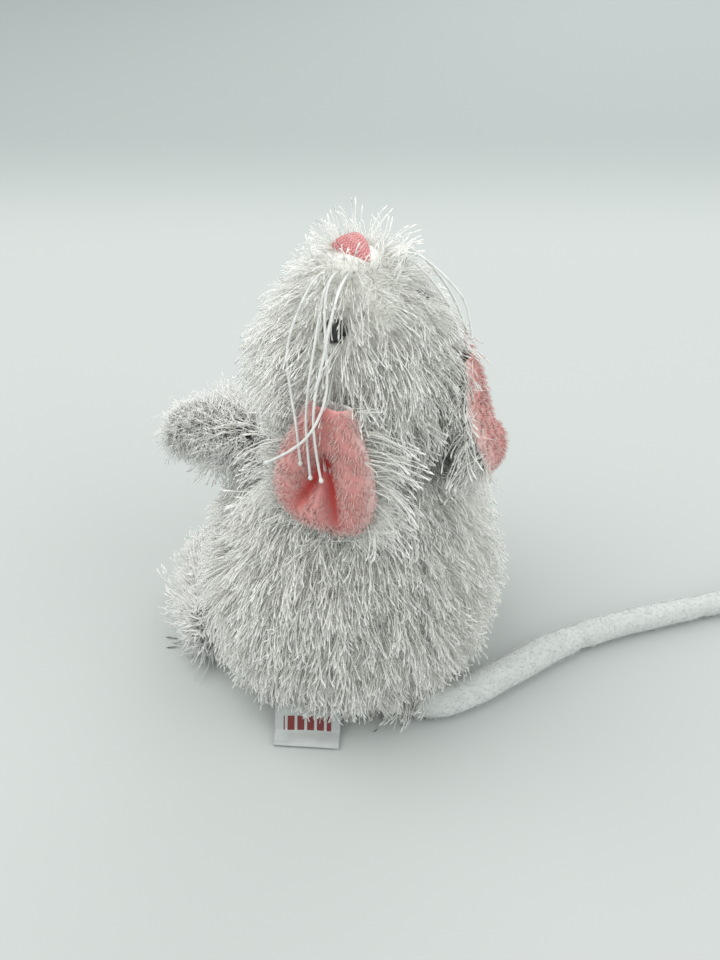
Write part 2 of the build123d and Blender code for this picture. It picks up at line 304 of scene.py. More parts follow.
def liningFinish(name, dull, bright, grainStrength):
    # pink minky, with painted deep red shade down in its creases, painted shade at its nap's roots, and pale at its rim
    material, tree = newFinish(name, Roughness=0.65, Sheen_Weight=0.5, Sheen_Roughness=0.4,
                                       Subsurface_Weight=0.2, Subsurface_Radius=(1.0, 0.4, 0.4),
                                       Subsurface_Scale=0.002)
    along = node(tree, "ShaderNodeAttribute", attribute_name="along").outputs["Fac"]
    crease = node(tree, "ShaderNodeAttribute", attribute_name="crease").outputs["Fac"]
    rim = node(tree, "ShaderNodeAttribute", attribute_name="rim").outputs["Fac"]
    # the nap is darker at its root as painted shade and lighter at its tip
    hair = blend(tree, along, (*dull, 1), (*bright, 1))
    tone = group(tree, softPatches, {"Color": hair, "Size": 420.0, "Amount": 0.16})
    # the creases get painted shade, a deep red
    creaseShade = blend(tree, crease, tone.outputs["Color"], (0.50, 0.02, 0.015, 1))
    pale = blend(tree, rim, creaseShade, (0.92, 0.66, 0.63, 1))
    if not grainStrength:
        return wear(material, pale)
    grain = group(tree, fineGrain, {"Size": 2600.0, "Depth": 0.00035, "Strength": grainStrength})
    return wear(material, pale, grain.outputs["Normal"])


def satinThreadFinish(name, ridgeHighlight, grooveShade, twist, roughness):
    # embroidery or sewing thread, its twist along the thread painted as a highlight on each ridge and shade between
    # them
    material, tree = newFinish(name, Roughness=roughness, Sheen_Weight=0.3, Specular_IOR_Level=0.6)
    along = node(tree, "ShaderNodeAttribute", attribute_name="along").outputs["Fac"]
    twistWave = reckon(tree, "MULTIPLY", along, twist)
    ridge = reckon(tree, "SINE", twistWave)
    fit = node(tree, "ShaderNodeMapRange", {"Value": ridge, "From Min": -1.0})
    # light and dark along the twist are painted highlight and painted shade
    mix = blend(tree, fit.outputs["Result"], (*grooveShade, 1), (*ridgeHighlight, 1))
    tone = group(tree, softPatches, {"Color": mix, "Size": 420.0, "Amount": 0.2})
    bump = node(tree, "ShaderNodeBump", {"Height": fit.outputs["Result"], "Distance": 0.00006, "Strength": 0.4})
    return wear(material, tone.outputs["Color"], bump.outputs["Normal"])


def clothFinish(name, colour, threads):
    material, tree = newFinish(name, Roughness=0.9, Sheen_Weight=0.2)
    spots = node(tree, "ShaderNodeTexCoord")
    tone = group(tree, softPatches, {"Color": (*colour, 1), "Size": 90.0, "Amount": 0.15})
    weave = group(tree, plainWeave, {"Vector": spots.outputs["Object"], "Threads": threads, "Depth": 0.00012})
    return wear(material, tone.outputs["Color"], weave.outputs["Normal"])


def ribbonFinish():
    # satin ribbon: fine ribs across it, woven red dashes where its lines would be
    material, tree = newFinish("label satin", Roughness=0.38, Sheen_Weight=0.3, Specular_IOR_Level=0.6)
    place = node(tree, "ShaderNodeUVMap", uv_map="ribbon")
    split = node(tree, "ShaderNodeSeparateXYZ", {"Vector": place.outputs["UV"]})
    ribs = node(tree, "ShaderNodeTexWave", {"Vector": place.outputs["UV"], "Scale": 26.0, "Distortion": 0.4},
                bands_direction="Y")
    dashes = node(tree, "ShaderNodeTexBrick", {"Vector": place.outputs["UV"], "Scale": 7.0, "Color1": (1, 1, 1, 1),
                                               "Color2": (1, 1, 1, 1), "Mortar": (0, 0, 0, 1), "Mortar Size": 0.16,
                                               "Brick Width": 1.05, "Row Height": 2.6, "Mortar Smooth": 0.2})
    rows = node(tree, "ShaderNodeMapRange", {"Value": split.outputs["Y"], "From Min": 0.206, "From Max": 0.212})
    rowsEnd = node(tree, "ShaderNodeMapRange", {"Value": split.outputs["Y"], "From Min": 0.352, "From Max": 0.346})
    margin = reckon(tree, "SUBTRACT", split.outputs["X"], 0.5)
    reach = reckon(tree, "ABSOLUTE", margin)
    inner = node(tree, "ShaderNodeMapRange", {"Value": reach, "From Min": 0.37, "From Max": 0.36})
    first = reckon(tree, "MULTIPLY", rows.outputs["Result"], rowsEnd.outputs["Result"])
    second = reckon(tree, "MULTIPLY", first, inner.outputs["Result"])
    third = reckon(tree, "MULTIPLY", second, dashes.outputs["Color"])
    # the white satin's grey ground is painted shade from the fur over it
    tone = group(tree, softPatches, {"Color": (0.47, 0.50, 0.495, 1), "Size": 200.0, "Amount": 0.12})
    # the red dashes are print, made darker as painted shade
    woven = blend(tree, third, tone.outputs["Color"], (0.16, 0.003, 0.005, 1))
    bump = node(tree, "ShaderNodeBump", {"Height": ribs.outputs["Fac"], "Distance": 0.00004, "Strength": 0.6})
    return wear(material, woven, bump.outputs["Normal"])


def glossFinish(name, colour, roughness, coat, speck):
    # moulded plastic, faintly uneven, with a little dust in its gloss
    material, tree = newFinish(name, Coat_Weight=coat, Coat_Roughness=0.04, Specular_IOR_Level=0.5)
    tone = group(tree, softPatches, {"Color": (*colour, 1), "Size": 300.0, "Amount": 0.25})
    grain = group(tree, fineGrain, {"Size": 900.0, "Depth": 0.00002, "Strength": 0.15})
    dull = node(tree, "ShaderNodeMapRange", {"Value": grain.outputs["Mask"], "To Min": roughness,
                                             "To Max": roughness + speck})
    return wear(material, tone.outputs["Color"], grain.outputs["Normal"], dull.outputs["Result"])


finishes = {
    "guard": pileFinish("white guard hair", (0.95, 0.955, 0.89), (1.0, 1.0, 0.945), 0.04, 0.45, 0.15),
    "under": pileFinish("white under fur", (0.93, 0.94, 0.86), (1.0, 1.0, 0.935), 0.05, 0.55, 0.4),
    "paw": pileFinish("cream paw pile", (0.97, 0.97, 0.93), (1.0, 1.0, 0.97), 0.04, 0.55, 0.4),
    "tailFuzz": pileFinish("tail fuzz", (0.55, 0.58, 0.565), (0.63, 0.66, 0.645), 0.06, 0.7, 0.2),
    "liningFuzz": liningFinish("lining nap", (0.74, 0.34, 0.32), (0.86, 0.59, 0.55), 0.0),
    "skin": napFinish("fur backing", (0.95, 0.95, 0.91), 0.08, 1300.0, 0.0006),
    "pawSkin": napFinish("paw backing", (0.97, 0.97, 0.93), 0.1, 1700.0, 0.0005),
    "tail": napFinish("tail short pile", (0.57, 0.60, 0.585), 0.08, 2400.0, 0.00018),
    "lining": liningFinish("ear lining minky", (0.76, 0.34, 0.32), (0.84, 0.47, 0.44), 0.9),
    "nose": satinThreadFinish("pink satin stitch", (0.76, 0.32, 0.31), (0.46, 0.11, 0.13), 90.0, 0.33),
    "thread": satinThreadFinish("white thread", (0.86, 0.88, 0.86), (0.66, 0.68, 0.66), 220.0, 0.35),
    "pouch": clothFinish("pouch cotton", (0.74, 0.74, 0.71), 700.0),
    "stuffing": napFinish("polyester fibre", (0.80, 0.80, 0.78), 0.2, 500.0, 0.002),
    "ribbon": ribbonFinish(),
    "eye": glossFinish("black eye gloss", (0.006, 0.006, 0.007), 0.06, 0.6, 0.05),
    "plastic": glossFinish("white moulded plastic", (0.72, 0.72, 0.68), 0.4, 0.0, 0.15),
}
print("finishes made")


# camera, before anything is placed

cameraLook = {"place": (0.1301, 0.1910, 0.2611), "right": (-0.81890, 0.57393, 0.0),
              "up": (-0.36889, -0.52635, 0.76608), "lens": 37.5}


def placeCamera(look):
    right, high = Vector(look["right"]).normalized(), Vector(look["up"]).normalized()
    back = right.cross(high)
    data = bpy.data.cameras.new("camera")
    data.lens, data.sensor_width, data.sensor_fit = look["lens"], 36.0, "AUTO"
    data.clip_start, data.clip_end = 0.01, 20.0
    camera = bpy.data.objects.new("camera", data)
    camera.matrix_world = Matrix.Translation(look["place"]) @ Matrix((right, high, back)).transposed().to_4x4()
    scene.collection.objects.link(camera)
    scene.camera = camera


placeCamera(cameraLook)
print("camera placed")


# whiskers: limp threads, each with a bead of glue at its free end

whiskerSizes = {"diameter": 0.0007, "beadRadius": 0.0006}
whiskerRoutes = {
    "left_1": [(9.2, 4.6, 142.6), (13.8, 6.4, 143.0), (19.2, 7.2, 137.0), (24.8, 8.6, 127.6),
               (27.5, 14.5, 119.5), (29.0, 19.5, 111.5), (30.0, 22.0, 102.3)],
    "left_2": [(8.2, 7.6, 142.8), (12.4, 10.0, 144.0), (16.6, 14.0, 138.2), (19.8, 19.4, 129.6),
               (22.4, 23.8, 121.0), (28.4, 25.6, 113.0), (33.2, 20.8, 105.8), (36.2, 15.6, 101.2)],
    "left_3": [(6.6, 9.8, 142.8), (12.0, 14.0, 143.2), (17.4, 17.8, 136.6), (21.8, 20.6, 128.0),
               (26.0, 22.6, 119.4), (27.6, 24.8, 109.4), (27.8, 28.0, 99.6)],
    "left_4": [(9.8, 6.6, 141.4), (13.8, 9.6, 140.8), (17.8, 13.4, 135.2), (22.4, 17.2, 128.0),
               (26.2, 20.0, 119.6), (28.2, 22.2, 110.6), (29.2, 25.2, 99.4)],
    "right_1": [(-7.4, 9.0, 143.0), (-11.0, 11.8, 145.0), (-15.0, 15.0, 141.4), (-19.0, 19.2, 136.2),
                (-22.4, 22.6, 130.0), (-22.0, 24.6, 122.0)],
    "right_2": [(-5.8, 10.6, 142.8), (-9.4, 12.8, 143.8), (-12.8, 14.8, 140.0), (-15.9, 17.3, 135.2),
                (-18.2, 20.8, 129.6), (-19.6, 24.2, 120.2)],
    "right_3": [(-9.0, 6.2, 142.6), (-12.6, 8.6, 144.2), (-17.0, 10.8, 140.0), (-21.4, 13.0, 133.5),
                (-24.8, 15.6, 126.0), (-26.6, 17.6, 118.5)],
}


def splineLength(curve):
    bare = curve.copy()
    bare.bevel_depth = 0.0
    carrier = addObject("bareLine", bare)
    line = bpy.data.meshes.new_from_object(carrier.evaluated_get(bpy.context.evaluated_depsgraph_get()))
    places = [v.co.copy() for v in line.vertices]
    bpy.data.objects.remove(carrier)
    bpy.data.curves.remove(bare)
    bpy.data.meshes.remove(line)
    return sum((b - a).length for a, b in zip(places, places[1:]))


def addWhisker(name, route):
    curve = bpy.data.curves.new(f"whiskerThread_{name}", "CURVE")
    curve.dimensions = "3D"
    curve.resolution_u = 10
    curve.bevel_depth = whiskerSizes["diameter"] / 2
    curve.bevel_resolution = 2
    curve.use_fill_caps = True
    line = curve.splines.new("NURBS")
    line.points.add(len(route) - 1)
    for point, (x, y, z) in zip(line.points, route):
        point.co = (x / 1000, y / 1000, z / 1000, 1)
    line.order_u = 3
    line.use_endpoint_u = True
    curve.materials.append(finishes["thread"])
    thread = addObject(f"whiskerThread_{name}", curve)
    end = Vector(route[-1]) / 1000
    lean = (end - Vector(route[-2]) / 1000).normalized()
    turn = up.rotation_difference(lean).to_matrix()
    ring, rows = 10, 7
    spots = []
    for row in range(rows):
        tilt = math.pi * row / (rows - 1)
        for step in range(ring):
            at = 2 * math.pi * step / ring
            wide = whiskerSizes["beadRadius"] * (1 + 0.12 * math.sin(3 * at + row))
            outward = wide * math.sin(tilt)
            spots.append(end + turn @ Vector((outward * math.cos(at), outward * math.sin(at),
                                              1.25 * whiskerSizes["beadRadius"] * math.cos(tilt))))
    bead = meshObject(f"whiskerBead_{name}", spots, gridFaces(rows, ring, True), finishes["thread"])
    for piece in (thread, bead):
        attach(piece, "head")
    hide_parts(f"whisker_{name}")
    splineLength(curve)


for whiskerName, whiskerRoute in whiskerRoutes.items():
    addWhisker(whiskerName, whiskerRoute)
print("whiskers made")


# pile: tufts of hair planted on a skin by Geometry Nodes

def hairTuft(name, hairs, seed, spread, start, end, heading, width, bead, apart):
    # hairs of unit length that rise from the skin and lie over towards +X
    chance = random.Random(seed)
    stops = [0.0, 0.38, 0.78, 0.93, 1.0] if bead else [0.0, 0.5, 1.0]
    girths = [0.9, 1.0, 0.75, 1.6, 0.0] if bead else [1.0, 0.7, 0.0]
    vertices, faces, along, across = [], [], [], []
    lean0, lean1 = chance.uniform(*start), chance.uniform(*end)
    sway = chance.uniform(-1.6, 1.6) * heading
    for hair in range(hairs):
        size = chance.uniform(0.78, 1.0)
        first = math.radians(chance.uniform(*start) * apart + lean0 * (1 - apart))
        last = math.radians(chance.uniform(*end) * apart + lean1 * (1 - apart))
        turn = math.radians(chance.uniform(-heading, heading))
        curl = math.radians(sway * (1 - apart) + chance.uniform(-heading, heading) * 0.8)
        place = Vector((chance.uniform(-spread, spread), chance.uniform(-spread, spread), -0.04))
        begin = len(vertices)
        for index, (stop, girth) in enumerate(zip(stops, girths)):
            tilt, swing = first + (last - first) * stop, turn + curl * stop
            if index:
                place = place + size * (stop - stops[index - 1]) * lean
            lean = Vector((math.cos(swing) * math.sin(tilt), math.sin(swing) * math.sin(tilt), math.cos(tilt)))
            side = Vector((-math.sin(swing), math.cos(swing), 0))
            rise = lean.cross(side)
            for corner in range(3 if girth else 1):
                at = 2 * math.pi * corner / 3
                vertices.append(place + (side * math.cos(at) + rise * math.sin(at)) * width * girth)
                along.append(stop)
                across.append((hair + corner / 3) / hairs)
        for row in range(len(stops) - 2):
            for corner in range(3):
                after = (corner + 1) % 3
                low = begin + row * 3
                faces.append((low + corner, low + after, low + 3 + after, low + 3 + corner))
        tip = begin + (len(stops) - 1) * 3
        for corner in range(3):
            faces.append((tip - 3 + corner, tip - 3 + (corner + 1) % 3, tip))
        faces.append((begin + 2, begin + 1, begin))
    mesh = bpy.data.meshes.new(name)
    mesh.from_pydata([tuple(v) for v in vertices], [], faces)
    mesh.shade_smooth()
    mesh.attributes.new("along", "FLOAT", "POINT").data.foreach_set("value", along)
    mesh.attributes.new("across", "FLOAT", "POINT").data.foreach_set("value", across)
    return bpy.data.objects.new(name, mesh)


tuftKinds = {
    # kind: hairs, spread, start lean, end lean, heading, width, bead, how unlike each other, variants
    "guard": (4, 0.10, (24, 56), (58, 100), 13, 0.0105, True, 0.35, 12),
    "stand": (4, 0.085, (4, 28), (12, 62), 14, 0.0120, True, 0.35, 8),
    "under": (5, 0.30, (14, 55), (45, 100), 80, 0.0170, False, 1.0, 7),
    "short": (5, 0.42, (5, 40), (20, 75), 120, 0.050, False, 1.0, 5),
    "nap": (3, 0.30, (15, 40), (35, 75), 26, 0.075, False, 0.6, 5),
}
tuftSets = {}
for kindName, (hairs, spread, start, end, heading, width, bead, apart, variants) in tuftKinds.items():
    tufts = bpy.data.collections.new(f"{kindName} tufts")
    for variant in range(variants):
        tufts.objects.link(hairTuft(f"{kindName}Tuft{variant}", hairs, 31 * variant + len(kindName), spread, start, end,
                                    heading, width, bead, apart))
    tuftSets[kindName] = tufts


def pileTree():
    tree = newTree("planted pile", "GeometryNodeTree",
                   [("Skin", "Geometry", None), ("Tufts", "Collection", None),
                    ("Kinds", "Int", 5), ("Gap", "Float", 0.001),
                    ("Length", "Float", 0.01), ("Shortest", "Float", 0.75),
                    ("Longest", "Float", 1.2), ("Stray", "Float", 0.3),
                    ("Floor", "Float", 0.0004), ("Seed", "Int", 1),
                    ("Finish", "Material", None)], [("Pile", "Geometry")])
    given = node(tree, "NodeGroupInput").outputs

    def chance(kind, order, low, high):
        # each kind of random value has its own pair of inputs and its own output
        return node(tree, "FunctionNodeRandomValue", {2 * order: low, 2 * order + 1: high, "Seed": given["Seed"]},
                    data_type=kind).outputs[order]

    cover = named(tree, "cover")
    roots = node(tree, "GeometryNodeDistributePointsOnFaces",
                 {"Mesh": given["Skin"], "Distance Min": given["Gap"],
                  "Density Max": 1e6, "Density Factor": cover,
                  "Seed": given["Seed"]}, distribute_method="POISSON")
    number = node(tree, "GeometryNodeInputIndex")
    marked = node(tree, "GeometryNodeStoreNamedAttribute",
                  {"Geometry": roots.outputs["Points"], "Name": "tuft", "Value": number},
                  data_type="INT", domain="POINT")
    upright = node(tree, "FunctionNodeAlignRotationToVector", {"Vector": roots.outputs["Normal"]}, axis="Z")
    flow = named(tree, "flow", "FLOAT_VECTOR")
    stray = chance("FLOAT_VECTOR", 0, (-1, -1, -1), (1, 1, 1))
    strayed = node(tree, "ShaderNodeVectorMath", {0: stray, "Scale": given["Stray"]},
                   operation="SCALE")
    aim = node(tree, "ShaderNodeVectorMath", {0: flow, 1: strayed}, operation="ADD")
    turned = node(tree, "FunctionNodeAlignRotationToVector",
                  {"Rotation": upright, "Vector": aim}, axis="X", pivot_axis="Z")
    reach = named(tree, "reach")
    size = chance("FLOAT", 1, given["Shortest"], given["Longest"])
    own = reckon(tree, "MULTIPLY", size, reach)
    full = reckon(tree, "MULTIPLY", own, given["Length"])
    most = reckon(tree, "SUBTRACT", given["Kinds"], 1)
    choice = chance("INT", 2, 0, most)
    source = node(tree, "GeometryNodeCollectionInfo", {"Collection": given["Tufts"],
                                                       "Separate Children": True, "Reset Children": True})
    planted = node(tree, "GeometryNodeInstanceOnPoints",
                   {"Points": marked, "Instance": source, "Pick Instance": True,
                    "Instance Index": choice, "Rotation": turned, "Scale": full})
    real = node(tree, "GeometryNodeRealizeInstances", {"Geometry": planted})
    place = node(tree, "GeometryNodeInputPosition")
    apart = node(tree, "ShaderNodeSeparateXYZ", {0: place})
    lifted = reckon(tree, "MAXIMUM", apart.outputs["Z"], given["Floor"])
    kept = node(tree, "ShaderNodeCombineXYZ", {"X": apart.outputs["X"], "Y": apart.outputs["Y"],
                                               "Z": lifted})
    grounded = node(tree, "GeometryNodeSetPosition", {"Geometry": real, "Position": kept})
    dressed = node(tree, "GeometryNodeSetMaterial", {"Geometry": grounded,
                                                     "Material": given["Finish"]})
    node(tree, "NodeGroupOutput", {"Pile": dressed})
    return tree


plantedPile = pileTree()


def setFlow(skin, rule):
    # rule(place, normal) gives how thickly hair grows, its share of the full length and the way it lies
    cover, reach, flow = [], [], []
    for vertex in skin.data.vertices:
        thick, share, way = rule(vertex.co, vertex.normal)
        cover.append(thick)
        reach.append(share)
        flow.extend(way)
    for label, kind, values in (("cover", "FLOAT", cover), ("reach", "FLOAT", reach), ("flow", "FLOAT_VECTOR", flow)):
        made = skin.data.attributes.get(label) or skin.data.attributes.new(label, kind, "POINT")
        made.data.foreach_set("vector" if kind == "FLOAT_VECTOR" else "value", values)


def growPile(name, skin, body, kind, finish, gap, length, stray, seed, shortest=0.7, longest=1.25,
             floor=0.0005):
    carrier = addObject(name, skin.data.copy())
    grow = carrier.modifiers.new("pile", "NODES")
    grow.node_group = plantedPile
    for label, value in (("Tufts", tuftSets[kind]), ("Kinds", len(tuftSets[kind].objects)), ("Gap", gap),
                         ("Length", length), ("Shortest", shortest), ("Longest", longest), ("Stray", stray),
                         ("Floor", floor), ("Seed", seed), ("Finish", finish)):
        setInput(grow, label, value)
    pile = plainMesh(name, carrier, finish)
    mesh = pile.data
    # every tuft gets a square of its own on the hair's map
    count = len(mesh.vertices)
    tuft, along, across = np.zeros(count, np.int32), np.zeros(count, np.float32), np.zeros(count, np.float32)
    mesh.attributes["tuft"].data.foreach_get("value", tuft)
    mesh.attributes["along"].data.foreach_get("value", along)
    mesh.attributes["across"].data.foreach_get("value", across)
    corners = np.zeros(len(mesh.loops), np.int32)
    mesh.loops.foreach_get("vertex_index", corners)
    squares = int(math.ceil(math.sqrt(tuft.max() + 1)))
    u = (tuft[corners] % squares + 0.06 + 0.88 * across[corners]) / squares
    v = (tuft[corners] // squares + 0.06 + 0.88 * along[corners]) / squares
    layer = mesh.uv_layers.new(name="OFBake")
    layer.data.foreach_set("uv", np.stack([u, v], 1).astype(np.float32).ravel())
    for label in ("tuft", "across", "cover", "reach", "flow"):
        if mesh.attributes.get(label):
            mesh.attributes.remove(mesh.attributes[label])
    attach(pile, body)
    triangles = sum(len(face.vertices) - 2 for face in mesh.polygons)
    print(f"{name}: {squares * squares} tufts at most, {triangles} triangles")
    return pile


# the body: a leaning, bean-filled skin that sits flat

neck, leanAxis = jointPlace("head_turn")
bodySizes = {"neckHeight": 0.092, "socketRadius": 0.0193, "cloth": 0.0006, "rings": 72, "around": 120,
             "outline": [(0, -8), (20, -6.6), (30, -3.6), (36.6, 3.6), (40.8, 13), (42.6, 26), (41.4, 40), (37.4, 54),
                         (32.2, 66), (27.5, 76), (23.3, 83), (18, 87), (9, 88.4), (0, 88.5)],
             "underGap": 0.00115, "underLength": 0.0058, "guardGap": 0.0019, "guardLength": 0.0125,
             "legPocket": 0.0084, "armPocket": 0.0080, "tailPocket": 0.0056, "lump": 0.0012, "rest": 0.0006}
footTips = {sideName: Vector((side * 0.0256, -0.0554, 0.0116)) for sideName, side in sides.items()}
pawTips = {sideName: Vector((side * 0.0356, -0.0364, 0.0820)) for sideName, side in sides.items()}


def smoothOutline(outline, count, inset):
    # even steps along a rounded line through (radius, height) in millimetres
    points = [Vector((max(0.0, r / 1000 - (inset if r else 0)), h / 1000)) for r, h in outline]
    line = []
    for i in range(len(points) - 1):
        line += [curveSpot(points, i, step / 24) for step in range(24)]
    line.append(points[-1])
    walk = walked(line)
    out = []
    for k in range(count):
        want = walk[-1] * k / (count - 1)
        index = min(max(i for i, w in enumerate(walk) if w <= want + 1e-12), len(line) - 2)
        part = (want - walk[index]) / max(walk[index + 1] - walk[index], 1e-12)
        out.append(line[index].lerp(line[index + 1], part))
    return out


def axisFrame(origin, axis):
    side = Vector((1, 0, 0))
    front = axis.cross(side).normalized()
    return lambda radius, angle, height: (origin + side * radius * math.cos(angle) + front * radius * math.sin(angle)
                                          + axis * height)


def lumps(place, size, depth, seed):
    return depth * noise.noise(place * size + Vector((seed, 0, 0)))


def turnedSkin(name, origin, axis, profile, around, shape, finish):
    at = axisFrame(origin, axis)
    spots = []
    for radiusHeight in profile:
        for step in range(around):
            angle = 2 * math.pi * step / around
            radius, height = shape(max(radiusHeight[0], 0.0), angle, radiusHeight[1])
            spots.append(at(radius, angle, height))
    rows = len(profile)
    faces = gridFaces(rows, around, True)
    return meshObject(name, spots, faces, finish)


def outOfBall(place, centre, radius):
    away = place - centre
    return centre + away.normalized() * radius if away.length < radius else place


def outOfRod(place, start, end, radius, inwards):
    along = end - start
    part = min(1.0, max(0.0, (place - start).dot(along) / along.length_squared))
    away = place - (start + along * part)
    if away.length < radius:
        return place + inwards * (radius - away.length)
    return place


def bodyShape(radius, angle, height):
    # the back and front seams pull the cloth in a little
    seam = math.exp(-(math.cos(angle) / 0.035) ** 2)
    dent = 0.0010 * seam if 0.01 < height < 0.085 else 0.0
    sag = 0.0012 * math.sin(2 * angle + 0.6) * smooth(0.0, 0.03, height) * (1 - smooth(0.05, 0.08, height))
    return max(0.0, radius - dent + (sag if radius > 0.01 else 0)), height


bodyOrigin = neck - leanAxis * bodySizes["neckHeight"]
bodySkin = turnedSkin("bodySkin", bodyOrigin, leanAxis,
                      smoothOutline(bodySizes["outline"], bodySizes["rings"], bodySizes["cloth"]),
                      bodySizes["around"], bodyShape, finishes["skin"])
tailRoot, _ = jointPlace("tail_swing")
for vertex in bodySkin.data.vertices:
    place = vertex.co.copy()
    centre = bodyOrigin + leanAxis * (place - bodyOrigin).dot(leanAxis)
    inwards = (centre - place).normalized() if (centre - place).length > 0.001 else Vector((0, 0, 0))
    place += inwards * -lumps(place, 90, bodySizes["lump"], 3.0)
    for sideName, side in sides.items():
        legPlace, _ = jointPlace(f"leg_{sideName}_swing")
        armPlace, _ = jointPlace(f"arm_{sideName}_swing")
        place = outOfRod(place, legPlace, footTips[sideName], bodySizes["legPocket"], inwards)
        place = outOfBall(place, armPlace, bodySizes["armPocket"])
    place = outOfBall(place, tailRoot, bodySizes["tailPocket"])
    place = outOfBall(place, neck, bodySizes["socketRadius"])
    place.z = max(place.z, bodySizes["rest"])
    vertex.co = place
bodySkin.data.update()


def bodyRule(place, normal):
    lifted = (place - neck).length
    thick = smooth(0.0160, 0.0196, lifted) * smooth(0.0012, 0.0035, place.z)
    radial = Vector((normal.x, normal.y, 0))
    way = Vector((0, 0, -1)) + radial * 0.25 * smooth(0.03, 0.0, place.z)
    way += stir(place, 60, 0.5, Vector((9, 0, 0)))
    share = 0.45 + 0.55 * smooth(0.0, 0.03, place.z)
    for sideName in sides:
        armPlace, _ = jointPlace(f"arm_{sideName}_swing")
        share = min(share, 0.6 + 0.4 * smooth(0.009, 0.016, (place - armPlace).length))
    nearTail = smooth(0.024, 0.010, (place - tailRoot).length)
    share = max(share, 1.15 * nearTail)
    way += (place - tailRoot).normalized() * 0.2 * nearTail + Vector((-0.2, 0.5, 0.2)) * nearTail
    return thick, share, way


for sideName, side in sides.items():
    def panelRule(place, normal, side=side):
        thick, share, way = bodyRule(place, normal)
        return thick * (1.0 if place.x * side > -1e-5 else 0.0), share, way

    setFlow(bodySkin, panelRule)
    growPile(f"body{sideName.title()}UnderFur", bodySkin, "torso", "under", finishes["under"],
             bodySizes["underGap"], bodySizes["underLength"], 0.9, 11 + side)
    growPile(f"body{sideName.title()}GuardHair", bodySkin, "torso", "guard", finishes["guard"],
             bodySizes["guardGap"], bodySizes["guardLength"], 0.5, 14 + side)
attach(bodySkin, "torso")
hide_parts("body_left_panel", "body_right_panel", "base_panel")
print("body made")


# the head: three panels drawn together into a blunt snout

headSizes = {"tilt": -3.4, "rings": 64, "around": 110, "cloth": 0.0006,
             "outline": [(0, -17), (6.5, -15.7), (12, -12), (15.7, -6.5), (17.0, 0), (17.3, 2), (20.5, 6), (23.4, 11),
                         (24.6, 17), (24, 24), (21.8, 31), (18.6, 37.5), (15, 43.5), (11, 48.5), (7, 51.9),
                         (3.4, 53.4), (0, 53.8)],
             "underGap": 0.00105, "underLength": 0.0056, "guardGap": 0.0018, "guardLength": 0.0120,
             "ringGap": 0.0027, "ringLength": 0.0105, "lump": 0.0012, "eyeHollow": 0.0012, "eyeHollowWidth": 0.0052}
headAxis = Vector((0, math.sin(math.radians(headSizes["tilt"])), math.cos(math.radians(headSizes["tilt"]))))
eyeCentres = {}
for sideName in sides:
    eyeLow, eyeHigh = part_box(f"eye_{sideName}")
    eyeCentres[sideName] = (eyeLow + eyeHigh) / 2
noseLow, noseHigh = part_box("nose_embroidery")
noseCentre = (noseLow + noseHigh) / 2


def headShape(radius, angle, height):
    # the middle panel's two seams run down the crown and the chin
    at = radius * math.cos(angle)
    seam = math.exp(-((abs(at) - 0.0065) / 0.0009) ** 2) * smooth(0.008, 0.02, height)
    return max(0.0, radius - 0.0009 * seam), height


headSkin = turnedSkin("headSkin", neck, headAxis,
                      smoothOutline(headSizes["outline"], headSizes["rings"], headSizes["cloth"]),
                      headSizes["around"], headShape, finishes["skin"])
for vertex in headSkin.data.vertices:
    place = vertex.co.copy()
    centre = neck + headAxis * (place - neck).dot(headAxis)
    out = (place - centre).normalized() if (place - centre).length > 0.001 else headAxis
    if (place - neck).length > 0.019:
        place += out * lumps(place, 80, headSizes["lump"], 7.0)
    # a little hollow round each eye
    for eyePlace in eyeCentres.values():
        fade = math.exp(-((place - eyePlace).length / headSizes["eyeHollowWidth"]) ** 2)
        place -= out * headSizes["eyeHollow"] * fade
    vertex.co = place
headSkin.data.update()


def headRule(place, normal):
    climbed = (place - neck).dot(headAxis)
    thick = smooth(-0.011, -0.005, climbed)
    # round the nose the hair stands up, and lower down it hangs
    fromNose = (place - noseCentre).length
    thick *= smooth(0.0034, 0.0048, fromNose)
    for eyePlace in eyeCentres.values():
        thick *= smooth(0.0044, 0.0056, (place - eyePlace + headAxis * 0.0012).length)
    stand = smooth(0.014, 0.005, fromNose)
    share = 0.72 + 0.28 * smooth(0.008, 0.026, fromNose) + 0.35 * smooth(0.016, 0.002, climbed)
    way = headAxis * (-1.0) + normal * 0.2
    way = way * (1 - stand) + (place - noseCentre).normalized() * stand
    way += stir(place, 70, 0.55, Vector((5, 0, 0)))
    return thick, share, way


setFlow(headSkin, headRule)
growPile("headUnderFur", headSkin, "head", "under", finishes["under"], headSizes["underGap"],
         headSizes["underLength"], 0.9, 21)
growPile("headGuardHair", headSkin, "head", "guard", finishes["guard"], headSizes["guardGap"],
         headSizes["guardLength"], 0.45, 22)


def noseRingRule(place, normal):
    fromNose = (place - noseCentre).length
    thick = smooth(0.0042, 0.0054, fromNose) * smooth(0.0160, 0.0095, fromNose)
    return thick, 1.0, (place - noseCentre) + Vector((0.004 * noise.noise(place * 300), 0.001, 0))


setFlow(headSkin, noseRingRule)
growPile("noseRingHair", headSkin, "head", "stand", finishes["guard"], headSizes["ringGap"],
         headSizes["ringLength"], 0.5, 23)
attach(headSkin, "head")
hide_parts("head_left_panel", "head_right_panel", "head_gusset")
print("head made")


# the nose: a padded triangle covered with satin stitch

noseSizes = {"width": 0.0108, "length": 0.0108, "rise": 0.0027, "threads": 18, "threadRadius": 0.00028, "tilt": 25.0,
             "steps": 14}


def nosePlaces(sizes):
    # X across, Y from the wide edge to the narrow end, Z out
    tilt = math.radians(sizes["tilt"])
    across = Vector((1, 0, 0))
    crown = (Vector((0, 1, 0)) - headAxis * headAxis.y).normalized()
    out = (headAxis * math.cos(tilt) + crown * math.sin(tilt)).normalized()
    down = out.cross(across).normalized()
    return across, down, out


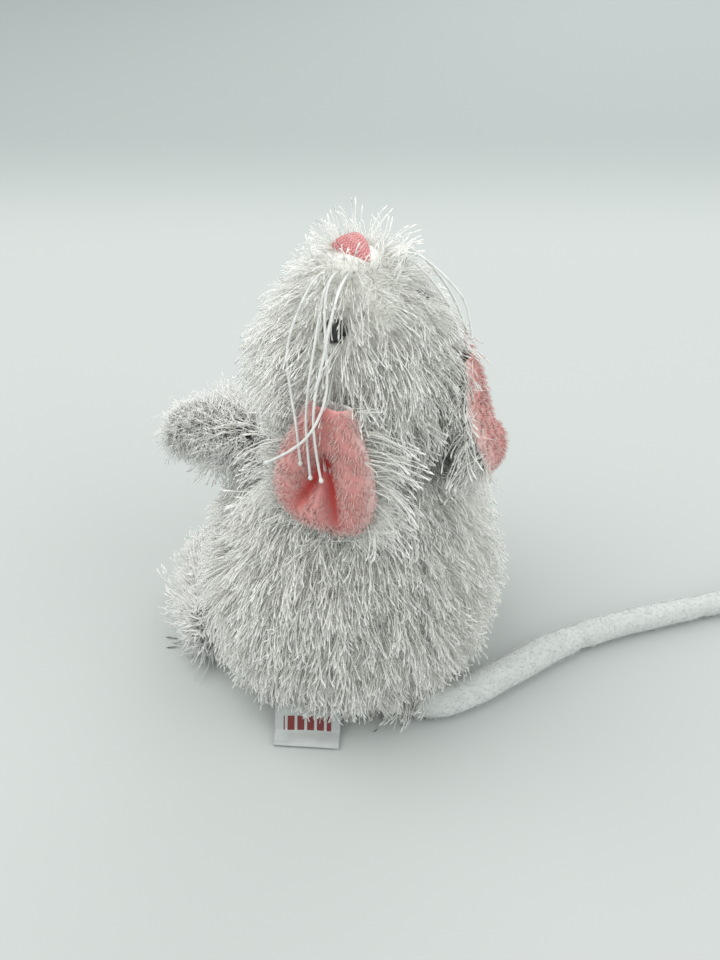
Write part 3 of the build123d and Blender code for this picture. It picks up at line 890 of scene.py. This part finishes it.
def noseSurface(u, v, sizes, lift=0.0):
    # u from -1 to 1 across, v from 0 at the wide edge to 1 at the narrow end
    across, down, out = nosePlaces(sizes)
    bulge = 1 - 0.18 * math.cos(math.pi * v) ** 2
    wide = sizes["width"] / 2 * (1 - 0.86 * v ** 1.15) * bulge
    bow = 0.0007 * (1 - u * u) * (1 - 2 * v)
    crown = max(0.0, 1 - abs(u) ** 2.6) * max(0.0, 1 - abs(2 * v - 0.9) ** 2.6)
    height = sizes["rise"] * crown ** 0.55
    return (noseCentre + across * u * wide + down * ((v - 0.45) * sizes["length"] - bow)
            + out * (height - 0.0012 + lift))


def sweptTree(name, tapered):
    # lines become rounded threads, or one tube as thick as its points' girth says
    tree = newTree(name, "GeometryNodeTree",
                   [("Lines", "Geometry", None), ("Thickness", "Float", 1.0), ("Sides", "Int", 6),
                    ("Finish", "Material", None)], [("Swept", "Geometry")])
    given = node(tree, "NodeGroupInput").outputs
    line = node(tree, "GeometryNodeMeshToCurve", {"Mesh": given["Lines"]})
    if not tapered:
        progress = node(tree, "GeometryNodeSplineParameter").outputs["Factor"]
        line = node(tree, "GeometryNodeStoreNamedAttribute", {"Geometry": line, "Name": "along", "Value": progress},
                    data_type="FLOAT", domain="POINT")
    ring = node(tree, "GeometryNodeCurvePrimitiveCircle", {"Resolution": given["Sides"], "Radius": given["Thickness"]})
    swept = node(tree, "GeometryNodeCurveToMesh", {"Curve": line, "Profile Curve": ring, "Fill Caps": True})
    if tapered:
        tree.links.new(named(tree, "girth").outputs[0], swept.inputs["Scale"])
    soft = node(tree, "GeometryNodeSetShadeSmooth", {"Geometry": swept})
    real = node(tree, "GeometryNodeRealizeInstances", {"Geometry": soft})
    dressed = node(tree, "GeometryNodeSetMaterial", {"Geometry": real, "Material": given["Finish"]})
    node(tree, "NodeGroupOutput", {"Swept": dressed})
    return tree


sewnThreads = sweptTree("sewn threads", False)


def sewLines(name, lines, thickness, count, finish, body):
    vertices, edges = [], []
    for line in lines:
        begin = len(vertices)
        vertices += [tuple(p) for p in line]
        edges += [(begin + i, begin + i + 1) for i in range(len(line) - 1)]
    mesh = bpy.data.meshes.new(name)
    mesh.from_pydata(vertices, edges, [])
    carrier = addObject(name, mesh)
    sew = carrier.modifiers.new("threads", "NODES")
    sew.node_group = sewnThreads
    for label, value in (("Thickness", thickness), ("Sides", count), ("Finish", finish)):
        setInput(sew, label, value)
    piece = plainMesh(name, carrier, finish)
    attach(piece, body)
    return piece


def addNose(sizes):
    rows, columns = 26, 26
    top = [noseSurface(-1 + 2 * c / (columns - 1), r / (rows - 1), sizes) for r in range(rows) for c in range(columns)]
    low = [noseSurface(-1 + 2 * c / (columns - 1), r / (rows - 1), sizes) - nosePlaces(sizes)[2] * 0.0022
           for r in range(rows) for c in range(columns)]
    faces = gridFaces(rows, columns, False)
    size = rows * columns
    faces += [tuple(size + i for i in reversed(face)) for face in gridFaces(rows, columns, False)]
    edge = ([c for c in range(columns)] + [r * columns + columns - 1 for r in range(1, rows)]
            + [(rows - 1) * columns + c for c in range(columns - 2, -1, -1)]
            + [r * columns for r in range(rows - 2, 0, -1)])
    for a, b in zip(edge, edge[1:] + edge[:1]):
        faces.append((a, b, size + b, size + a))
    pad = meshObject("nosePad", top + low, faces, finishes["nose"])
    pad.data.attributes.new("along", "FLOAT", "POINT")
    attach(pad, "head")
    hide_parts("nose_embroidery")
    chance = random.Random(5)
    lines = []
    for index in range(sizes["threads"]):
        u = -0.97 + 1.94 * index / (sizes["threads"] - 1)
        line = []
        finishAt = chance.uniform(0.90, 1.0)
        for step in range(sizes["steps"]):
            v = -0.01 + finishAt * step / (sizes["steps"] - 1)
            sway = 0.03 * math.sin(3 * v + index)
            tuck = 0.0006 * (1 if step in (0, sizes["steps"] - 1) else 0)
            line.append(noseSurface(max(-1, min(1, u + sway)), max(0.0, v), sizes, 0.00008 - tuck
                                    + chance.uniform(-0.00003, 0.00003)))
        lines.append(line)
    sewLines("noseSatinStitch", lines, sizes["threadRadius"], 6, finishes["nose"], "head")


addNose(noseSizes)
print("nose made")


# ears: a pink minky front on a furry back

earSizes = {"length": 0.0382, "around": 48, "down": 56,
            "outline": [(0.0, 5.6), (0.12, 8.0), (0.28, 11.2), (0.45, 13.8), (0.62, 14.9), (0.78, 13.9), (0.90, 10.6),
                        (0.96, 7.2), (1.0, 0.0)],
            # the lining is folded into three lobes by creases that part like a tent
            "creases": [((0.02, 0.0), (-0.04, 0.42), 0.25), ((-0.04, 0.40), (0.52, 0.80), 1.0),
                        ((-0.04, 0.40), (-0.58, 0.92), 1.0)],
            "napGap": 0.00062, "napLength": 0.0019, "backGap": 0.0010, "backLength": 0.0085, "guardGap": 0.0016,
            "guardLength": 0.0150}
earLooks = {"left": {"flare": 11.0, "cup": 0.0006, "lobe": 0.0040},
            "right": {"flare": 21.0, "cup": -0.0042, "lobe": 0.0030}}


def earHalfWidth(v):
    points = earSizes["outline"]
    for (a, wa), (b, wb) in zip(points, points[1:]):
        if v <= b:
            t = (v - a) / (b - a)
            if wb == 0.0:
                return wa / 1000 * math.sqrt(max(0.0, 1 - t * t))
            return (wa + (wb - wa) * t) / 1000
    return 0.0


def earFrame(sideName):
    root, hinge = jointPlace(f"ear_{sideName}_flap")
    flare = math.radians(earLooks[sideName]["flare"])
    level = Vector((-hinge.y, hinge.x, 0))
    down = level * math.sin(flare) - up * math.cos(flare)
    outward = level * math.cos(flare) + up * math.sin(flare)
    return root, down.cross(outward), down, outward


def creaseNear(sideName, u, v):
    # how deep in a crease a place is: (narrow, wide)
    here = Vector((u * earHalfWidth(v), v * earSizes["length"]))
    narrow = wide = 0.0
    for (ua, va), (ub, vb), strength in earSizes["creases"]:
        a = Vector((ua * earHalfWidth(va), va * earSizes["length"]))
        b = Vector((ub * earHalfWidth(vb), vb * earSizes["length"]))
        part = min(1.0, max(0.0, (here - a).dot(b - a) / (b - a).length_squared))
        gap = (here - a.lerp(b, part)).length
        fade = strength * (1 - 0.7 * part ** 4)
        narrow = max(narrow, fade * math.exp(-(gap / 0.0021) ** 2))
        wide = max(wide, fade * math.exp(-(gap / 0.0032) ** 2))
    return narrow, wide


def earSpot(sideName, u, v, layer):
    # layer 1 is the pink face and -1 the back
    root, across, down, outward = earFrame(sideName)
    look = earLooks[sideName]
    wide = earHalfWidth(v)
    rim = max(0.0, 1 - abs(u) ** 3.5) * max(0.0, 1 - smooth(0.84, 1.0, v))
    narrow, valley = creaseNear(sideName, u, v)
    middle = -0.0004 + look["cup"] * u * u * smooth(0.0, 0.35, v)
    if layer > 0:
        lift = middle + rim * (0.0008 + look["lobe"] * (1 - 0.95 * valley))
    else:
        lift = middle - rim * 0.0013
    wobble = 0.0004 * noise.noise(Vector((u * 2.3, v * 6, 3.0 if sideName == "left" else 8.0)))
    # the tip turns in a little
    lift -= 0.0012 * smooth(0.75, 1.0, v)
    return (root + across * u * wide + down * (v * earSizes["length"]) + outward * (lift + wobble)), narrow, rim


def earSheet(name, sideName, layer, finish):
    columns, rows = earSizes["around"], earSizes["down"]
    spots, creases, rims = [], [], []
    for inner in (False, True):
        for row in range(rows):
            for column in range(columns):
                u, v = -1 + 2 * column / (columns - 1), row / (rows - 1)
                spot, narrow, rim = earSpot(sideName, u, v, layer)
                if inner:
                    spot = spot - earFrame(sideName)[3] * 0.0007 * layer * min(1.0, rim * 3)
                spots.append(spot)
                creases.append(narrow)
                rims.append(0.8 * smooth(0.72, 1.0, max(abs(u), smooth(0.70, 1.0, v))))
    faces = gridFaces(rows, columns, False)
    size = rows * columns
    faces += [tuple(size + i for i in reversed(face)) for face in gridFaces(rows, columns, False)]
    mesh = bpy.data.meshes.new(name)
    mesh.from_pydata([tuple(s) for s in spots], [], faces)
    # the narrow crease mask is where the lining's finish paints shade
    mesh.attributes.new("crease", "FLOAT", "POINT").data.foreach_set("value", creases)
    mesh.attributes.new("rim", "FLOAT", "POINT").data.foreach_set("value", rims)
    builder = bmesh.new()
    builder.from_mesh(mesh)
    bmesh.ops.remove_doubles(builder, verts=builder.verts, dist=2e-5)
    border = [edge for edge in builder.edges if edge.is_boundary]
    if border:
        bmesh.ops.holes_fill(builder, edges=border, sides=200)
    bmesh.ops.recalc_face_normals(builder, faces=builder.faces)
    builder.to_mesh(mesh)
    builder.free()
    mesh.shade_smooth()
    mesh.materials.append(finish)
    piece = addObject(name, mesh)
    return piece


def addEar(sideName, seed):
    root, across, down, outward = earFrame(sideName)
    body = f"ear_{sideName}"
    lining = earSheet(f"ear{sideName.title()}Lining", sideName, 1, finishes["lining"])
    back = earSheet(f"ear{sideName.title()}Back", sideName, -1, finishes["skin"])

    def backRule(place, normal):
        v = (place - root).dot(down) / earSizes["length"]
        u = (place - root).dot(across) / max(earHalfWidth(min(max(v, 0.0), 0.995)), 0.002)
        thick = 1.0 if normal.dot(outward) < 0.25 else 0.0
        fringe = smooth(0.75, 1.0, max(abs(u), v))
        way = down * 0.7 + across * (1.5 * u) - outward * 0.1
        way += stir(place, 90, 0.4)
        return thick, 0.70 + 0.35 * fringe, way

    def frontRule(place, normal):
        thick = 1.0 if normal.dot(outward) > -0.1 else 0.0
        way = down + across * (0.35 * noise.noise(place * 120) + 0.5 * (place - root).dot(across) / 0.014)
        v = min(max((place - root).dot(down) / earSizes["length"], 0.0), 0.995)
        narrow, _ = creaseNear(sideName, (place - root).dot(across) / max(earHalfWidth(v), 0.002), v)
        return thick * (1 - 0.85 * narrow), 1.0 - 0.55 * narrow, way

    setFlow(back, backRule)
    growPile(f"ear{sideName.title()}UnderFur", back, body, "under", finishes["under"],
             earSizes["backGap"], earSizes["backLength"], 0.8, seed)
    growPile(f"ear{sideName.title()}GuardHair", back, body, "guard", finishes["guard"],
             earSizes["guardGap"], earSizes["guardLength"], 0.35, seed + 1)
    setFlow(lining, frontRule)
    growPile(f"ear{sideName.title()}Nap", lining, body, "nap", finishes["liningFuzz"],
             earSizes["napGap"], earSizes["napLength"], 0.35, seed + 2)
    for piece, slotName, cad in ((lining, "pink_plush", f"ear_{sideName}_lining"),
                                 (back, "white_fur", f"ear_{sideName}_back")):
        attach(piece, body)
        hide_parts(cad)


addEar("left", 41)
addEar("right", 51)
print("ears made")


# arms and legs: soft tubes with rounded, short-haired ends

limbSizes = {"rings": 40, "around": 56, "cloth": 0.0016, "pawGap": 0.0009, "pawLength": 0.0044, "fuzzGap": 0.0011,
             "fuzzLength": 0.0105, "guardGap": 0.0027, "guardLength": 0.0140, "crestGap": 0.0026,
             "crestLength": 0.0105}
limbKinds = {"arm": {"root": 8.0, "top": 28.9, "bare": 0.0145,
                     "outline": [(7.4, 4.0), (7.6, 8.0), (8.9, 12.5), (9.8, 16.5), (8.9, 20.0), (5.6, 22.3)]},
             "leg": {"root": 8.2, "top": 37.8, "bare": 0.022,
                     "outline": [(7.2, 4.5), (6.6, 9.5), (7.0, 17.0), (7.9, 24.5), (7.8, 30.0), (5.2, 35.4)]}}


def addLimb(kind, sideName, tip, seed):
    look = limbKinds[kind]
    root, _ = jointPlace(f"{kind}_{sideName}_swing")
    axis = (tip - root).normalized()
    reach = (tip - root).length
    seat = [(look["root"] * math.sin(math.radians(a)), -look["root"] * math.cos(math.radians(a)))
            for a in (0, 22, 45, 68, 90)]
    profile = smoothOutline(seat + look["outline"] + [(0, reach * 1000)], limbSizes["rings"], limbSizes["cloth"])
    body = f"{kind}_{sideName}"
    skin = turnedSkin(f"{kind}{sideName.title()}Skin", root, axis, profile, limbSizes["around"],
                      lambda radius, angle, height: (radius, height), finishes["pawSkin"])
    for vertex in skin.data.vertices:
        place = vertex.co.copy()
        centre = root + axis * (place - root).dot(axis)
        out = (place - centre).normalized() if (place - centre).length > 0.0005 else axis
        place += out * lumps(place, 110, 0.0009, float(seed))
        place.z = max(place.z, 0.0005)
        vertex.co = place
    skin.data.update()

    def pawRule(place, normal):
        along = (place - root).dot(axis)
        share = 1.0 + 0.9 * smooth(look["bare"], look["bare"] - 0.010, along)
        way = axis * 0.5 - up * 0.6 + stir(place, 90, 0.6)
        return smooth(-0.0085, -0.0070, along) * smooth(0.0012, 0.0035, place.z), share, way

    def guardRule(place, normal):
        along = (place - root).dot(axis)
        thick = smooth(-0.006, -0.002, along) * (0.6 + 0.4 * smooth(look["bare"] + 0.004, look["bare"] - 0.004, along))
        thick *= smooth(0.0030, 0.0065, place.z)
        # near the floor the hair lies out along the limb instead of hanging
        hang = smooth(0.012, 0.030, place.z)
        way = axis * (0.7 - 0.45 * hang) - up * (0.1 + 0.9 * hang) + stir(place, 60, 0.5)
        return thick, 0.6 + 0.6 * smooth(look["bare"] + 0.004, look["bare"] - 0.01, along), way

    def crestRule(place, normal):
        along = (place - root).dot(axis)
        thick = smooth(-0.006, 0.0, along) * smooth(0.1, 0.5, normal.z)
        way = axis * 0.1 + up * 0.4 + stir(place, 60, 0.5)
        return thick, 0.65 + 0.35 * smooth(look["bare"] + 0.006, look["bare"] - 0.006, along), way

    setFlow(skin, crestRule)
    growPile(f"{kind}{sideName.title()}CrestHair", skin, body, "stand", finishes["guard"],
             limbSizes["crestGap"], limbSizes["crestLength"], 0.6, seed + 4)
    setFlow(skin, pawRule)
    growPile(f"{kind}{sideName.title()}PawPile", skin, body, "short", finishes["paw"], limbSizes["pawGap"],
             limbSizes["pawLength"], 1.2, seed)
    setFlow(skin, guardRule)
    growPile(f"{kind}{sideName.title()}Fuzz", skin, body, "under", finishes["paw"], limbSizes["fuzzGap"],
             limbSizes["fuzzLength"], 0.9, seed + 7)
    growPile(f"{kind}{sideName.title()}GuardHair", skin, body, "guard", finishes["guard"],
             limbSizes["guardGap"], limbSizes["guardLength"], 0.5, seed + 1)
    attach(skin, body)
    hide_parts(f"{body}_skin")


for sideName in sides:
    addLimb("arm", sideName, pawTips[sideName], 61 if sideName == "left" else 63)
    addLimb("leg", sideName, footTips[sideName], 71 if sideName == "left" else 73)
print("limbs made")


# the tail: a short-haired tube that tapers along its route

tailSizes = {"route": [(3.0, 39.5, 5.4), (-2.2, 43.9, 5.2), (-8.0, 46.0, 5.25), (-18.0, 47.3, 5.2), (-32.0, 48.0, 5.1),
                       (-48.0, 48.6, 4.9), (-65.0, 51.5, 4.6), (-82.0, 56.5, 4.35), (-99.0, 62.5, 4.1),
                       (-117.0, 68.5, 3.9), (-137.0, 72.5, 3.65), (-157.0, 73.5, 3.4), (-176.0, 72.0, 3.1)],
             "steps": 200, "around": 36, "creases": ((-0.058, 0.0007), (-0.103, 0.0004), (-0.143, 0.0003)),
             "fuzzGap": 0.00095, "fuzzLength": 0.0010, "inset": 0.00025, "creaseWidth": 0.0028, "wobble": 0.00025,
             "length": 0.190, "rest": 0.00045}


def addTail(sizes):
    route = [Vector((x / 1000, y / 1000, r / 1000)) for x, y, r in sizes["route"]]
    line, girths = [], []
    count = sizes["steps"]
    for step in range(count):
        t = step / (count - 1) * (len(route) - 1)
        i = min(int(t), len(route) - 2)
        at = curveSpot(route, i, t - i)
        radius = at.z - sizes["inset"]
        for place, depth in sizes["creases"]:
            radius -= depth * math.exp(-((at.x - place) / sizes["creaseWidth"]) ** 2)
        radius += sizes["wobble"] * noise.noise(Vector((at.x * 110, 4.0, 0.5)))
        # both ends round off
        for far in (step / (count - 1) * sizes["length"], (1 - step / (count - 1)) * sizes["length"]):
            if far < at.z:
                radius *= math.sqrt(max(0.0, 1 - (1 - far / at.z) ** 2)) * 0.98 + 0.02
        line.append((at.x, at.y, max(at.z, 0.0001)))
        girths.append(radius)
    mesh = bpy.data.meshes.new("tailSleeve")
    mesh.from_pydata(line, [(i, i + 1) for i in range(count - 1)], [])
    mesh.attributes.new("girth", "FLOAT", "POINT").data.foreach_set("value", girths)
    carrier = addObject("tailSleeve", mesh)
    tube = carrier.modifiers.new("tube", "NODES")
    tube.node_group = sweptTree("tapered tube", True)
    setInput(tube, "Sides", sizes["around"])
    setInput(tube, "Finish", finishes["tail"])
    sleeve = plainMesh("tailSleeve", carrier, finishes["tail"])
    for vertex in sleeve.data.vertices:
        # it lies a little flat on the floor
        vertex.co.z = max(vertex.co.z, sizes["rest"])
    if sleeve.data.attributes.get("girth"):
        sleeve.data.attributes.remove(sleeve.data.attributes["girth"])

    def fuzzRule(place, normal):
        way = Vector((-1, 0.1, 0)) + stir(place, 200, 0.8)
        return smooth(0.0006, 0.0015, place.z), 1.0, way

    setFlow(sleeve, fuzzRule)
    growPile("tailFuzz", sleeve, "tail", "short", finishes["tailFuzz"], sizes["fuzzGap"],
             sizes["fuzzLength"], 1.2, 81, floor=0.0003)
    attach(sleeve, "tail")
    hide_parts("tail_sleeve")


addTail(tailSizes)
print("tail made")


# the label: a satin ribbon folded over, with both ends caught in the bottom seam

labelSizes = {"azimuth": 50.8, "offset": 0.0101, "width": 0.0204, "thickness": 0.00022, "gap": 0.0004,
              "profile": [(0.0362, 0.0101), (0.0385, 0.0093), (0.0405, 0.0078), (0.0421, 0.0054), (0.0434, 0.0027),
                          (0.0442, 0.0014), (0.0466, 0.0011), (0.0489, 0.0009)],
              "across": 22, "curl": 0.0005, "rest": 0.0002}


def addLabel(sizes):
    turn = math.radians(sizes["azimuth"])
    out = Vector((math.cos(turn), math.sin(turn), 0))
    side = Vector((math.sin(turn), -math.cos(turn), 0))
    top = [Vector((r, z + sizes["gap"])) for r, z in sizes["profile"]]
    low = [Vector((r, max(z - sizes["gap"] * 0.4, 0.00025))) for r, z in sizes["profile"]]
    tip = [Vector((top[-1].x + 0.00032, top[-1].y - 0.0003))]
    path = top + tip + list(reversed(low))
    smoothPath = []
    for i in range(len(path) - 1):
        smoothPath += [curveSpot(path, i, step / 4) for step in range(4)]
    smoothPath.append(path[-1])
    rows, columns = len(smoothPath), sizes["across"]
    walk = walked(smoothPath)
    spots, maps = [], []
    for row, spot in enumerate(smoothPath):
        # it curls a little between the seam and the fold
        free = smooth(0.0365, 0.042, spot.x) * (1 - smooth(0.0475, 0.0492, spot.x))
        for column in range(columns):
            u = column / (columns - 1)
            height = spot.y + sizes["curl"] * math.sin(math.pi * u * 1.2 + 0.4) * free
            sideways = sizes["offset"] + (u - 0.5) * sizes["width"]
            spots.append(out * spot.x + side * sideways + up * max(height, sizes["rest"]))
            maps.append((u, walk[row] / walk[-1]))
    mesh = bpy.data.meshes.new("labelStrip")
    mesh.from_pydata([tuple(s) for s in spots], [], gridFaces(rows, columns, False))
    layer = mesh.uv_layers.new(name="ribbon")
    for loop in mesh.loops:
        layer.data[loop.index].uv = maps[loop.vertex_index]
    mesh.shade_smooth()
    mesh.materials.append(finishes["ribbon"])
    ribbon = addObject("labelStrip", mesh)
    if mesh.polygons[columns].normal.z < 0:
        mesh.flip_normals()
    thick = ribbon.modifiers.new("thickness", "SOLIDIFY")
    thick.thickness, thick.offset = sizes["thickness"], 0.0
    label = plainMesh("labelRibbon", ribbon, finishes["ribbon"])
    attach(label, "torso")
    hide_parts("label")


addLabel(labelSizes)
print("label made")


# the pieces that keep their CAD shape get their finishes

plainPieces = {
    "eye_left": "eye", "eye_right": "eye", "eye_left_washer": "plastic", "eye_right_washer": "plastic",
    "pellets": "plastic", "bean_pouch": "pouch", "body_stuffing": "stuffing", "head_stuffing": "stuffing",
    "tail_filling": "stuffing", "arm_left_stuffing": "stuffing", "arm_right_stuffing": "stuffing",
    "leg_left_stuffing": "stuffing", "leg_right_stuffing": "stuffing", "closing_stitches": "thread",
    "neck_seam_thread": "thread", "neck_gather": "skin",
}
for nodeName, finishName in plainPieces.items():
    piece = frame["nodes"][nodeName]
    for place in range(len(piece.data.materials)):
        piece.material_slots[place].material = finishes[finishName]
    if not piece.data.materials:
        piece.data.materials.append(finishes[finishName])
print("kept pieces finished")


# floor and light, which aren't part of the mouse

stageSizes = {"half": 2.4, "near": (0.470, 0.498, 0.490), "far": (0.352, 0.388, 0.384), "line": 0.37, "soft": 0.09}
lights = {
    # name: place, width, watts, colour
    "key": ((0.35, -0.25, 0.85), 0.9, 5.2, (1.0, 0.99, 0.97)),
    "fill": ((-0.5, 0.75, 0.6), 1.1, 4.4, (0.98, 1.0, 0.99)),
    "rim": ((-0.7, -0.5, 0.5), 0.8, 2.2, (1.0, 1.0, 1.0)),
}


def addFloor(sizes):
    half = sizes["half"]
    corners = [(-half, -half, 0), (half, -half, 0), (half, half, 0), (-half, half, 0)]
    floor = meshObject("floor", corners, [(0, 1, 2, 3)])
    material, tree = newFinish("pale floor", Roughness=0.9)
    spots = node(tree, "ShaderNodeTexCoord")
    away = node(tree, "ShaderNodeVectorMath", {0: spots.outputs["Object"], 1: (-0.574, -0.819, 0)},
                operation="DOT_PRODUCT")
    fade = node(tree, "ShaderNodeMapRange",
                {"Value": away.outputs["Value"], "From Min": sizes["line"] - sizes["soft"],
                 "From Max": sizes["line"] + sizes["soft"]}, interpolation_type="SMOOTHSTEP")
    mix = blend(tree, fade.outputs["Result"], (*sizes["near"], 1), (*sizes["far"], 1))
    floor.data.materials.append(wear(material, mix))
    if floor.data.polygons[0].normal.z < 0:
        floor.data.flip_normals()


def addLight(name, place, target, size, power, colour):
    data = bpy.data.lights.new(name, "AREA")
    data.shape, data.size, data.energy, data.color = "DISK", size, power, colour
    lamp = bpy.data.objects.new(name, data)
    lamp.location = place
    lamp.rotation_euler = (Vector(target) - Vector(place)).to_track_quat("-Z", "Y").to_euler()
    scene.collection.objects.link(lamp)


addFloor(stageSizes)
middle = (Vector(cadLow) + Vector(cadHigh)) / 2
for lightName, (lightPlace, size, power, colour) in lights.items():
    addLight(lightName, lightPlace, middle, size, power, colour)
world = bpy.data.worlds.new("soft room")
world.use_nodes = True
world.node_tree.nodes["Background"].inputs["Color"].default_value = (0.84, 0.865, 0.85, 1)
world.node_tree.nodes["Background"].inputs["Strength"].default_value = 0.95
scene.world = world
scene.view_settings.view_transform = "Standard"
print("stage set")

bpy.context.view_layer.update()
